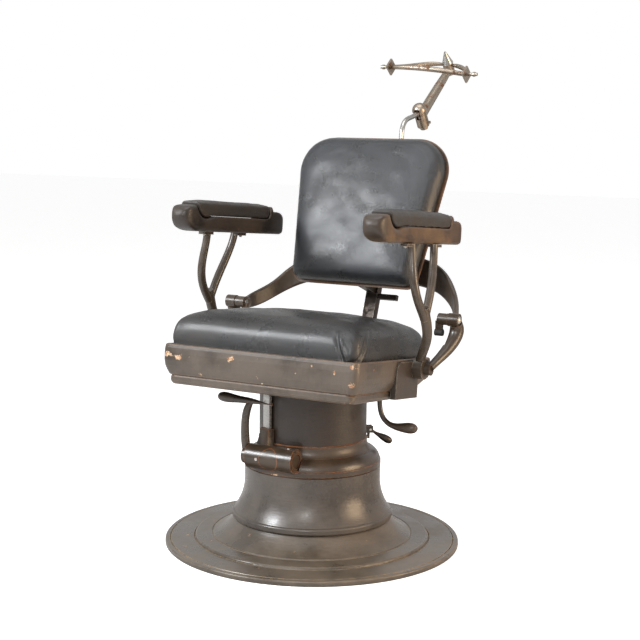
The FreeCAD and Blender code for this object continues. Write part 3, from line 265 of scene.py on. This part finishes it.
# %% Enamel
def enamel(name, paint, edge_colour=WORN_BROWN, edges=0.6, level=0.72, lines=(40, 40, 260), line_share=0.25, rough=0.36, spots=(), chip=CREAM_FILLER):
    """Aged enamel. A lower level makes more chips."""
    material, tree, shader, place = start_finish(name)
    darker = tuple(part * 0.66 for part in paint[:3]) + (1.0,)
    lighter = tuple(part * 1.3 for part in paint[:3]) + (1.0,)
    base = use(tree, cloudy, {"Vector": place, "Scale": 9, "Dark": darker, "Light": lighter})
    stroke = use(tree, brushed, {"Vector": place, "Stretch": lines})["Value"]
    corner_shade_and_tarnish = use(tree, shade_tarnish_group, {"Vector": place, "Reach": 0.03})["Mask"]
    edge = use(tree, rubbed, {"Vector": place, "Width": 0.003, "Amount": edges})["Mask"]
    flake = use(tree, chips, {"Vector": place, "Scale": 34, "Level": level})
    chipped, shore = flake["Mask"], flake["Shore"]
    if spots:
        knocked, knocked_shore = knocked_places(tree, place, spots)
        chipped = maths(tree, "MAXIMUM", chipped, knocked)
        shore = maths(tree, "MAXIMUM", shore, knocked_shore)
    colour = blend_colour(tree, maths(tree, "MULTIPLY", stroke, line_share), base["Colour"], darker)
    # Painted shade: the enamel darkens to a dark brown in closed-in corners, under lips and between parts.
    colour = blend_colour(tree, maths(tree, "MULTIPLY", corner_shade_and_tarnish, 0.75), colour, SHADE_BROWN)
    colour = blend_colour(tree, edge, colour, edge_colour)
    colour = blend_colour(tree, maths(tree, "MULTIPLY", shore, 0.7), colour, WORN_BROWN)
    under = use(tree, cloudy, {"Vector": place, "Scale": 160, "Dark": BARE_ORANGE, "Light": chip})["Colour"]
    colour = blend_colour(tree, chipped, colour, under)
    tree.links.new(colour, shader.inputs["Base Color"])
    roughness = ramp(tree, base["Value"], 0.0, 1.0, rough - 0.08, rough + 0.1)
    roughness = maths(tree, "ADD", roughness, maths(tree, "MULTIPLY", chipped, 0.35))
    tree.links.new(maths(tree, "ADD", roughness, maths(tree, "MULTIPLY", corner_shade_and_tarnish, 0.2)), shader.inputs["Roughness"])
    peel = add(tree, "ShaderNodeTexNoise", {"Vector": place, "Scale": 150, "Detail": 4, "Roughness": 0.6}).outputs[0]
    height = maths(tree, "ADD", maths(tree, "MULTIPLY", peel, 0.5), maths(tree, "MULTIPLY", stroke, 0.25))
    set_bump(tree, shader, maths(tree, "SUBTRACT", height, maths(tree, "MULTIPLY", chipped, 0.6)), 0.0009, 0.55)
    shader.inputs["Coat Weight"].default_value = 0.18
    shader.inputs["Coat Roughness"].default_value = 0.22
    return material


SEAT_TILT = math.radians(7)
SEAT_HEIGHT = 0.426


def seat_point(across, along, up):
    """A point in the seat's own tilted space, in metres, as a point of the room."""
    return (
        across,
        along * math.cos(SEAT_TILT) + up * math.sin(SEAT_TILT),
        SEAT_HEIGHT - along * math.sin(SEAT_TILT) + up * math.cos(SEAT_TILT),
    )


APRON_FRONT = -0.276
APRON_SPOTS = [
    (seat_point(-0.240, APRON_FRONT, 0.022), 0.016, 0.011),
    (seat_point(-0.212, APRON_FRONT, 0.016), 0.012, 0.010),
    (seat_point(-0.068, APRON_FRONT, 0.027), 0.014, 0.009),
    (seat_point(-0.152, APRON_FRONT, -0.018), 0.016, 0.008),
    (seat_point(-0.135, APRON_FRONT, -0.026), 0.006, 0.004),
    (seat_point(0.143, APRON_FRONT, 0.031), 0.005, 0.004),
    (seat_point(0.104, APRON_FRONT, 0.010), 0.004, 0.003),
    (seat_point(0.248, APRON_FRONT, 0.036), 0.012, 0.013),
    (seat_point(0.246, APRON_FRONT, -0.004), 0.011, 0.011),
    (seat_point(0.252, APRON_FRONT, -0.022), 0.009, 0.009),
    (seat_point(0.150, APRON_FRONT, -0.045), 0.016, 0.006),
    (seat_point(0.240, APRON_FRONT, -0.047), 0.026, 0.007),
    (seat_point(-0.226, APRON_FRONT, -0.045), 0.016, 0.006),
    (seat_point(-0.020, APRON_FRONT, -0.046), 0.013, 0.005),
]
BOSS_SPOTS = [((0.012, -0.196, 0.214), 0.010, 0.012), ((-0.010, -0.176, 0.198), 0.020, 0.006)]
GREY_PAINT = tint(80, 70, 61)
BROWN_PAINT = tint(66, 53, 41)
DARK_PAINT = tint(48, 39, 31)
finishes = {
    "base_plate": enamel("base_enamel", tint(94, 84, 73), tint(160, 136, 98), 1.3, 0.675, line_share=0.3, rough=0.34),
    "base_bell": enamel("bell_enamel", tint(80, 72, 65), line_share=0.35, rough=0.33, edges=0.4, level=0.76),
    "turret_collar": enamel("collar_enamel", BROWN_PAINT, BARE_ORANGE, 0.9, 0.73, rough=0.36, spots=BOSS_SPOTS),
    "column_tube": enamel("column_enamel", tint(42, 28, 16), line_share=0.6, rough=0.4, edges=0.3, level=0.78),
    "seat_frame": enamel("apron_enamel", GREY_PAINT, tint(150, 112, 78), 1.2, 0.665, (160, 160, 30), 0.15, 0.36, APRON_SPOTS),
    "side_plates": enamel("side_enamel", tint(60, 50, 42), tint(150, 140, 126), 0.9, 0.72),
    "arm_post_right": enamel("fork_enamel", tint(74, 63, 53), tint(158, 146, 128), 1.2, 0.73, (90, 90, 20), 0.2, 0.3),
    "pump_lever": enamel("lever_enamel", tint(68, 57, 48), BARE_ORANGE, 0.8, 0.74, (90, 90, 20), 0.2, 0.34),
    "back_yoke": enamel("carrier_enamel", tint(66, 53, 41), WORN_BROWN, 0.8, 0.73, (90, 90, 20), 0.2, 0.36),
    "release_bracket": enamel("dark_enamel", DARK_PAINT, WORN_BROWN, 0.5, 0.74),
}
finishes["arm_post_left"] = finishes["arm_post_right"]
finishes["pump_front_plug"] = finishes["pump_end_cap"] = finishes["turret_collar"]
finishes["back_carrier_right"] = finishes["back_carrier_left"] = finishes["recline_lever"] = finishes["back_yoke"]
print("enamelled pieces:", len(finishes))

# %% [markdown]
# Bare iron, polished steel and bronze are metals: their colour is the colour of their reflection, and
# what makes them old is rust or tarnish in patches, which is rougher and isn't metal any more.


# %% Metals
def metal(name, shine, tarnish, tarnish_from, rough, lines=(30, 30, 400), edges=0.5, edge_colour=tint(190, 184, 174)):
    """Metal with tarnish where a noise is above tarnish_from."""
    material, tree, shader, place = start_finish(name)
    stroke = use(tree, brushed, {"Vector": place, "Stretch": lines})["Value"]
    patches = add(tree, "ShaderNodeTexNoise", {"Vector": place, "Scale": 38, "Detail": 8, "Roughness": 0.7}).outputs[0]
    dull = ramp(tree, patches, tarnish_from, tarnish_from + 0.12)
    corner_shade_and_tarnish = use(tree, shade_tarnish_group, {"Vector": place, "Reach": 0.012})["Mask"]
    dull = maths(tree, "MAXIMUM", dull, maths(tree, "MULTIPLY", corner_shade_and_tarnish, 0.8))
    edge = use(tree, rubbed, {"Vector": place, "Width": 0.002, "Amount": edges})["Mask"]
    dull = maths(tree, "SUBTRACT", dull, edge, clamp=True)
    darker = tuple(part * 0.75 for part in shine[:3]) + (1.0,)
    bare = blend_colour(tree, maths(tree, "MULTIPLY", stroke, 0.5), shine, darker)
    bare = blend_colour(tree, edge, bare, edge_colour)
    aged = tuple(part * 0.45 for part in tarnish[:3]) + (1.0,)
    rusty = use(tree, cloudy, {"Vector": place, "Scale": 70, "Dark": aged, "Light": tarnish})["Colour"]
    tree.links.new(blend_colour(tree, dull, bare, rusty), shader.inputs["Base Color"])
    tree.links.new(ramp(tree, dull, 0.0, 1.0, 1.0, 0.15), shader.inputs["Metallic"])
    tree.links.new(ramp(tree, dull, 0.0, 1.0, rough, 0.72), shader.inputs["Roughness"])
    height = maths(tree, "ADD", maths(tree, "MULTIPLY", patches, 0.7), maths(tree, "MULTIPLY", stroke, 0.15))
    set_bump(tree, shader, height, 0.0006, 0.5)
    return material


slots = {
    "polished_steel": metal("polished_steel", tint(180, 177, 172), RUST, 0.62, 0.24),
    "rusty_iron": metal("rusty_iron", tint(158, 146, 132), tint(124, 86, 58), 0.52, 0.34, edges=1.2),
    "dark_iron": metal("dark_iron", tint(70, 64, 60), tint(60, 46, 36), 0.50, 0.36),
    "bronze": metal("bronze", tint(176, 134, 78), tint(84, 62, 38), 0.58, 0.32),
}
print("metals:", sorted(slots))

# %% [markdown]
# The arm rests are wood under a thin brown paint that hands have worn through: the grain shows as long
# streaks, the nose of each arm is dark and shiny, and a few small chips are bare orange wood. The left
# arm is given darker colours than the right, as painted shade. The seat board and the back's shell are
# the same wood, unpainted.


# %% Wood
def wood(name, light, dark, stretch=(60, 5, 60), rough=0.42, level=0.72, nose=0.0):
    """Worn painted wood with its grain along Y. nose darkens the front end."""
    material, tree, shader, place = start_finish(name)
    streaks = use(tree, brushed, {"Vector": place, "Stretch": stretch})["Value"]
    fine = use(tree, brushed, {"Vector": place, "Stretch": tuple(part * 7 for part in stretch)})["Value"]
    patches = use(tree, cloudy, {"Vector": place, "Scale": 11, "Dark": dark, "Light": light})
    colour = blend_colour(tree, maths(tree, "MULTIPLY", streaks, 0.45), patches["Colour"], dark)
    colour = blend_colour(tree, maths(tree, "MULTIPLY", fine, 0.25), colour, dark)
    if nose:
        front = add(tree, "ShaderNodeSeparateXYZ", {0: place}).outputs["Y"]
        colour = blend_colour(tree, ramp(tree, front, -0.160, -0.200, 0.0, nose), colour, tint(50, 43, 38))
    edge = use(tree, rubbed, {"Vector": place, "Width": 0.003, "Amount": 0.7})["Mask"]
    colour = blend_colour(tree, edge, colour, tint(140, 104, 70))
    flake = use(tree, chips, {"Vector": place, "Scale": 55, "Level": level})["Mask"]
    colour = blend_colour(tree, flake, colour, tint(176, 108, 58))
    tree.links.new(colour, shader.inputs["Base Color"])
    tree.links.new(ramp(tree, patches["Value"], 0.0, 1.0, rough - 0.1, rough + 0.12), shader.inputs["Roughness"])
    height = maths(tree, "SUBTRACT", maths(tree, "ADD", streaks, maths(tree, "MULTIPLY", fine, 0.5)), flake)
    set_bump(tree, shader, height, 0.0005, 0.5)
    return material


finishes["armrest_right"] = wood("arm_wood_right", tint(112, 88, 62), tint(66, 48, 32), nose=0.8)
# The left arm's wood is a darker copy of the right arm's: painted shade.
finishes["armrest_left"] = wood("arm_wood_left_shaded", tint(66, 52, 40), tint(34, 27, 21), level=0.69, nose=0.5)
slots["board_wood"] = wood("board_wood", tint(104, 72, 44), tint(58, 38, 24), (60, 60, 5), 0.55)
print("woods:", [m.name for m in bpy.data.materials if "wood" in m.name])


# %% [markdown]
# Rubber stops and the oily rope packing are seen only when the chair is taken apart, but they still
# get what they have: a dusty bloom on the rubber, and a plaited look on the packing.


# %% Rubber and packing
def small_soft(name, light, dark, lines, rough, depth):
    """A dull finish with stretched markings."""
    material, tree, shader, place = start_finish(name)
    marks = use(tree, brushed, {"Vector": place, "Stretch": lines})["Value"]
    bloom = use(tree, cloudy, {"Vector": place, "Scale": 60, "Dark": dark, "Light": light})
    tree.links.new(blend_colour(tree, maths(tree, "MULTIPLY", marks, 0.5), bloom["Colour"], dark), shader.inputs["Base Color"])
    tree.links.new(ramp(tree, bloom["Value"], 0.0, 1.0, rough, rough + 0.2), shader.inputs["Roughness"])
    set_bump(tree, shader, marks, depth, 0.6)
    return material


slots["rubber"] = small_soft("rubber", tint(58, 54, 50), tint(26, 24, 23), (90, 90, 90), 0.6, 0.0004)
slots["packing"] = small_soft("packing", tint(120, 104, 76), tint(54, 44, 30), (300, 300, 120), 0.7, 0.001)
print("small soft finishes: rubber, packing")


# %% [markdown]
# The leather is black upholstery hide. Years of sitters polished it: it is glossy, the plates of its
# grain are flattened in patches, and the dye has thinned to a blue grey in the middle and to brown at
# the edges. Gloss that comes and goes is what the eye reads as leather, so the roughness follows the
# wear.


# %% Leather
def leather(name, dye, thin, rough=0.33, wear=0.5, plates=620):
    """Worn upholstery leather: dye is its dark colour and thin its colour where it is worn."""
    material, tree, shader, place = start_finish(name)
    skin = use(tree, grain, {"Vector": place, "Plates": plates})
    mottle = use(tree, cloudy, {"Vector": place, "Scale": 22, "Dark": dye, "Light": tuple(part * 1.5 for part in dye[:3]) + (1.0,)})
    colour = blend_colour(tree, maths(tree, "MULTIPLY", skin["Worn"], wear), mottle["Colour"], thin)
    flecks = use(tree, chips, {"Vector": place, "Scale": 200, "Level": 0.78})["Mask"]
    colour = blend_colour(tree, maths(tree, "MULTIPLY", flecks, 0.7), colour, tint(170, 166, 158))
    tree.links.new(colour, shader.inputs["Base Color"])
    dulled = maths(tree, "MULTIPLY", mottle["Value"], 0.10)
    tree.links.new(maths(tree, "ADD", ramp(tree, skin["Worn"], 0.0, 1.0, rough, rough + 0.12), dulled), shader.inputs["Roughness"])
    set_bump(tree, shader, skin["Height"], 0.0007, 0.55)
    shader.inputs["Coat Weight"].default_value = 0.25
    shader.inputs["Coat Roughness"].default_value = 0.28
    return material


seat_leather = leather("seat_leather", tint(20, 20, 21), tint(54, 48, 42), 0.24)
back_leather = leather("back_leather", tint(17, 18, 21), tint(46, 50, 56), 0.23)
arm_leather = leather("arm_leather", tint(30, 26, 23), tint(62, 48, 36), 0.45, 0.4)
slots["leather"] = arm_leather
print("leathers:", [m.name for m in (seat_leather, back_leather, arm_leather)])

# %% [markdown]
# Each piece of the engineering model now takes its finish: its own if it has one, else the one of its
# material slot.

# %% Dress the engineering model
slot_of = {entry["node"]: entry["material_slot"] for entry in frame["record"]["subparts"]}
for name, piece in frame["nodes"].items():
    finish = finishes.get(name) or slots[slot_of[name]]
    piece.data.materials.clear()
    piece.data.materials.append(finish)
print("dressed", len(frame["nodes"]), "pieces;", "slots used:", sorted(set(slot_of.values())))


# %% [markdown]
# A stuffed pad can't be drawn well by hand: leather pulled over horsehair swells, and only a cloth
# simulation puts the swell where it belongs. The engineering pad is copied, shrunk a little, given an
# even skin by the voxel remesher, and blown up with a gentle pressure. No point may move further than
# a limit, to the side or towards the sitter, so that the pad stays in its place on the board.


# %% Make a pad
def soften(piece, rounds, weigh):
    """Smooths a piece, each point as much as weigh says for its place, from 0 to 1."""
    group = piece.vertex_groups.new(name="softened")
    for corner in piece.data.vertices:
        group.add([corner.index], min(1.0, max(0.0, weigh(corner.co))), "REPLACE")
    smooth = piece.modifiers.new("Soften", "SMOOTH")
    smooth.vertex_group = group.name
    smooth.factor = 0.5
    smooth.iterations = rounds
    bpy.ops.object.modifier_apply(modifier=smooth.name)


def even_copy(node, name, voxel):
    """A copy of an engineering piece with an even skin of small faces."""
    pad = bpy.data.objects.new(name, frame["nodes"][node].data.copy())
    bpy.context.scene.collection.objects.link(pad)
    bpy.ops.object.select_all(action="DESELECT")
    pad.select_set(True)
    bpy.context.view_layer.objects.active = pad
    bpy.ops.object.mode_set(mode="EDIT")
    bpy.ops.mesh.select_all(action="SELECT")
    bpy.ops.mesh.remove_doubles(threshold=0.00002)
    bpy.ops.object.mode_set(mode="OBJECT")
    remesh = pad.modifiers.new("Even skin", "REMESH")
    remesh.mode = "VOXEL"
    remesh.voxel_size = voxel
    bpy.ops.object.modifier_apply(modifier=remesh.name)
    return pad


def shrink(pad, up, amount):
    """Pulls the skin in by amount, except underneath, where the pad lies on its board."""
    normals = [corner.normal.copy() for corner in pad.data.vertices]
    for corner, outward in zip(pad.data.vertices, normals):
        if outward.dot(up) > -0.6:
            corner.co -= outward * amount


def swell(pad, up, sideways, rise):
    """Blows the pad up, with no point moving further than sideways across up, or rise along it."""
    start = [corner.co.copy() for corner in pad.data.vertices]
    tops = [max(0.0, corner.normal.dot(up)) for corner in pad.data.vertices]
    cloth = pad.modifiers.new("Swell", "CLOTH")
    cloth.settings.quality = 4
    cloth.settings.use_pressure = True
    cloth.settings.uniform_pressure_force = 4
    cloth.settings.effector_weights.gravity = 0
    cloth.point_cache.frame_end = 20
    for step in range(1, 21):
        bpy.context.scene.frame_set(step)
    bpy.ops.object.modifier_apply(modifier=cloth.name)
    bpy.context.scene.frame_set(1)
    farthest = 0.0
    for corner, rest, top in zip(pad.data.vertices, start, tops):
        move = corner.co - rest
        raised = min(max(move.dot(up), 0.0), rise * top)
        across = move - up * move.dot(up)
        if across.length > sideways:
            across = across.normalized() * sideways
        corner.co = rest + across + up * raised
        farthest = max(farthest, (corner.co - rest).length)
    return farthest


def finish_pad(pad, body, node, finish):
    """Smooths the pad, hands it its leather and puts it in place of the engineering pad."""
    smooth = pad.modifiers.new("Smooth skin", "SUBSURF")
    smooth.levels = smooth.render_levels = 1
    bpy.ops.object.modifier_apply(modifier=smooth.name)
    bpy.ops.object.shade_smooth()
    pad.data.materials.clear()
    pad.data.materials.append(finish)
    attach(pad, body)
    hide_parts(node)


# %% [markdown]
# A pleat is a fold that takes up the leather where it turns a corner: a sharp valley with a soft lip on
# one side. It is pressed into the finished skin along a line from the top of the pad to its foot. The
# stuffing has also settled into slow, shallow waves, which an even noise along the skin gives.


# %% Pleats and settling
def pleat(pad, top, foot, width, depth):
    """Presses a fold into the pad from top to foot."""
    along = foot - top
    length = along.length
    along.normalize()
    normals = [corner.normal.copy() for corner in pad.data.vertices]
    for corner, outward in zip(pad.data.vertices, normals):
        offset = corner.co - top
        reach = offset.dot(along)
        if -width < reach < length + width and (offset - along * reach).length < 0.03:
            across = offset.dot(outward.cross(along))
            fade = min(1.0, max(0.0, (reach + width) / (length * 0.45)))
            valley = -depth * math.exp(-((across / width) ** 2))
            lip = depth * 0.6 * math.exp(-(((across - 1.9 * width) / (1.3 * width)) ** 2))
            corner.co += outward * fade * (valley + lip)
    pad.data.update()


def settle(pad, up, size, depth):
    """Slow waves on the side that faces up."""
    normals = [corner.normal.copy() for corner in pad.data.vertices]
    for corner, outward in zip(pad.data.vertices, normals):
        facing = max(0.0, outward.dot(up))
        wave = noise.noise(corner.co / size) + 0.5 * noise.noise(corner.co * 2.3 / size)
        corner.co += up * (depth * facing * wave)
    pad.data.update()


# %% [markdown]
# The seat cushion is the biggest pad. It is crowned, nearly flush with the ledge it sits on, and has
# two pleats round its right front corner and one at the left.

# %% Seat cushion
seat_up = Vector(seat_point(0, 0, 1)) - Vector(seat_point(0, 0, 0))
seat_pad = even_copy("seat_cushion", "seat_leather_pad", 0.005)
seat_board_top = Vector(seat_point(0, 0, 0.060))
soften(seat_pad, 60, lambda point: (point - seat_board_top).dot(seat_up) / 0.02)
shrink(seat_pad, seat_up, 0.003)
print("seat cushion swelled by up to", round(swell(seat_pad, seat_up, 0.004, 0.009), 4), "m")
finish_pad(seat_pad, "seat", "seat_cushion", seat_leather)
CUSHION_FRONT = -0.268
pleat(seat_pad, Vector(seat_point(0.186, CUSHION_FRONT + 0.008, 0.116)), Vector(seat_point(0.214, CUSHION_FRONT, 0.048)), 0.0045, 0.0045)
pleat(seat_pad, Vector(seat_point(0.236, CUSHION_FRONT + 0.062, 0.104)), Vector(seat_point(0.250, CUSHION_FRONT + 0.020, 0.048)), 0.0045, 0.0045)
pleat(seat_pad, Vector(seat_point(-0.228, CUSHION_FRONT + 0.030, 0.112)), Vector(seat_point(-0.248, CUSHION_FRONT + 0.006, 0.048)), 0.0045, 0.004)
settle(seat_pad, seat_up, 0.11, 0.0022)
print("seat cushion has", len(seat_pad.data.polygons), "faces")

# %% [markdown]
# The back pad is a thinner slab of the same leather on a bent wooden shell. It faces the sitter, so
# its "up" points forwards.

# %% Back pad
BACK_LEAN = math.radians(20.5)
back_out = Vector((0, -math.cos(BACK_LEAN), math.sin(BACK_LEAN)))
back_up = Vector((0, math.sin(BACK_LEAN), math.cos(BACK_LEAN)))
BACK_FOOT = Vector((0, 0.178, 0.621))
BACK_LENGTH = 0.390
BACK_EDGE = -0.006


def inside_back(point):
    """How far a point is inside the outline of the back, which is wider and rounder at its top."""
    height = (point - BACK_FOOT).dot(back_up)
    half = 0.172 + 0.047 * height / BACK_LENGTH
    from_side = half - abs(point.x)
    from_end = min(height, BACK_LENGTH - height)
    corner = 0.092 if height > BACK_LENGTH / 2 else 0.030
    if from_side < corner and from_end < corner:
        return corner - math.hypot(corner - from_side, corner - from_end)
    return min(from_side, from_end)


back_pad = even_copy("back_pad", "back_leather_pad", 0.005)
back_normals = [corner.normal.copy() for corner in back_pad.data.vertices]
for corner, outward in zip(back_pad.data.vertices, back_normals):
    proud = (corner.co - BACK_FOOT).dot(back_out)
    if proud > BACK_EDGE:
        inside = max(0.0, inside_back(corner.co))
        crown = BACK_EDGE + 0.018 * (1 - math.exp(-inside / 0.008)) + 0.012 * (1 - math.exp(-inside / 0.05))
        if outward.dot(back_out) > 0.25 or proud > crown:
            corner.co += back_out * (crown - proud)
soften(back_pad, 45, lambda point: ((point - BACK_FOOT).dot(back_out) + 0.010) / 0.008)
shrink(back_pad, back_out, 0.002)
print("back pad swelled by up to", round(swell(back_pad, back_out, 0.002, 0.008), 4), "m")
finish_pad(back_pad, "back", "back_pad", back_leather)
settle(back_pad, back_out, 0.09, 0.0018)
print("back pad has", len(back_pad.data.polygons), "faces")

# %% [markdown]
# Two long narrow pads are let into the arm rests. They barely stand above the wood, so their limits
# are small.

# %% Arm pads
ARM_TILT = math.radians(5)
arm_up = Vector((0, math.sin(ARM_TILT), math.cos(ARM_TILT)))
for side in ("right", "left"):
    arm_pad = even_copy("arm_pad_" + side, "arm_leather_" + side, 0.004)
    soften(arm_pad, 4, lambda point: 1.0)
    print(side, "arm pad swelled by up to", round(swell(arm_pad, arm_up, 0.0005, 0.004), 4), "m")
    finish_pad(arm_pad, "seat", "arm_pad_" + side, arm_leather)
    settle(arm_pad, arm_up, 0.05, 0.0007)
print("four pads made")

# %% [markdown]
# The wood of the arm rests is worn round: its nose is a blunt bull's nose, and no edge is sharp. The
# engineering arm is straight-cut, so it gets an even skin, and its ends are softened far more than its
# middle, where the pad is let in.

# %% Arm rests
ARM_MIDDLE = 0.017
ARM_HALF = 0.235


def arm_end(point):
    """1 at the two ends of an arm rest, and little in its middle."""
    return 0.12 + (abs(point.y - ARM_MIDDLE - 0.06) - (ARM_HALF - 0.085)) / 0.04


for side in ("right", "left"):
    arm_rest = even_copy("armrest_" + side, "worn_arm_rest_" + side, 0.0028)
    soften(arm_rest, 70, arm_end)
    bpy.ops.object.shade_smooth()
    arm_rest.data.materials.clear()
    arm_rest.data.materials.append(finishes["armrest_" + side])
    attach(arm_rest, "seat")
    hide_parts("armrest_" + side)
    print(arm_rest.name, "has", len(arm_rest.data.polygons), "faces")

# %% [markdown]
# A plain pale floor and a pale room let the dark chair speak. The room is white to the camera, but
# throws less light than it shows, so that the soft lamps can shape the metal.

# %% Floor and room
bpy.ops.object.select_all(action="DESELECT")
bpy.ops.mesh.primitive_plane_add(size=30, location=(0, 0, 0))
floor = bpy.context.object
floor.name = "floor"
bpy.ops.object.mode_set(mode="EDIT")
bpy.ops.mesh.subdivide(number_cuts=4)
bpy.ops.object.mode_set(mode="OBJECT")
floor_paint, tree, shader, place = start_finish("pale_floor")
floor_tone = use(tree, cloudy, {"Vector": place, "Scale": 3, "Dark": tint(240, 240, 240), "Light": tint(246, 246, 246)})["Colour"]
tree.links.new(floor_tone, shader.inputs["Base Color"])
shader.inputs["Roughness"].default_value = 0.9
floor.data.materials.append(floor_paint)
shader.inputs["Emission Color"].default_value = (1.0, 1.0, 1.0, 1.0)
floor_seen = add(tree, "ShaderNodeLightPath").outputs["Is Camera Ray"]
tree.links.new(maths(tree, "MULTIPLY", floor_seen, 0.8), shader.inputs["Emission Strength"])
ROOM_LIGHT = 0.13
ROOM_SHINE = 0.75
world = bpy.data.worlds.new("pale_room")
world.use_nodes = True
bpy.context.scene.world = world
room = world.node_tree
path = add(room, "ShaderNodeLightPath").outputs
mirrored = ramp(room, path["Is Glossy Ray"], 0.0, 1.0, ROOM_LIGHT, ROOM_SHINE)
glow = maths(room, "MAXIMUM", mirrored, path["Is Camera Ray"])
room.nodes["Background"].inputs["Color"].default_value = (1.0, 1.0, 1.0, 1.0)
room.links.new(glow, room.nodes["Background"].inputs["Strength"])
bpy.context.scene.view_settings.view_transform = "Standard"
print("room glows at", ROOM_LIGHT)

# %% [markdown]
# A big cool soft box stands to the left of the camera and draws the bright bands on the leather, the
# bell and the apron. A smaller one stands near the camera, and a warm one behind on the right gives
# the brown metal its glow.


# %% Lamps
def soft_box(name, place, aim, size, power, colour):
    """A square lamp at place that points at aim."""
    lamp = bpy.data.lights.new(name, "AREA")
    lamp.shape = "SQUARE"
    lamp.size = size
    lamp.energy = power
    lamp.color = colour
    stand = bpy.data.objects.new(name, lamp)
    bpy.context.scene.collection.objects.link(stand)
    stand.location = place
    stand.rotation_euler = (Vector(aim) - Vector(place)).to_track_quat("-Z", "Y").to_euler()
    return stand


MIDDLE = (0, 0, 0.55)
soft_box("key_box", (-1.9, -2.6, 2.3), MIDDLE, 1.0, 130, (0.94, 0.97, 1.0))
soft_box("front_box", (1.0, -3.2, 1.9), MIDDLE, 0.9, 38, (1.0, 0.99, 0.97))
soft_box("top_box", (0.2, -0.3, 3.2), MIDDLE, 2.2, 36, (1.0, 1.0, 1.0))
soft_box("warm_box", (2.6, 0.4, 0.9), MIDDLE, 1.2, 45, (1.0, 0.72, 0.45))

# %% [markdown]
# The camera stands in front and to the right of the chair at about chest height and looks slightly
# down. Its three axes are given as vectors, which together are its rotation.

# %% Camera
lens = bpy.data.cameras.new("camera")
lens.lens = 78.75
lens.sensor_width = 36
camera = bpy.data.objects.new("camera", lens)
bpy.context.scene.collection.objects.link(camera)
to_right = Vector((0.87657, 0.48114, 0.01140))
to_up = Vector((-0.08009, 0.12247, 0.98923))
backwards = Vector((0.47457, -0.86805, 0.14589))
turn = Matrix((to_right, to_up, backwards)).transposed()
camera.matrix_world = Matrix.Translation((1.6185, -2.9310, 1.0413)) @ turn.to_4x4()
bpy.context.scene.camera = camera
print("camera at", tuple(camera.location))
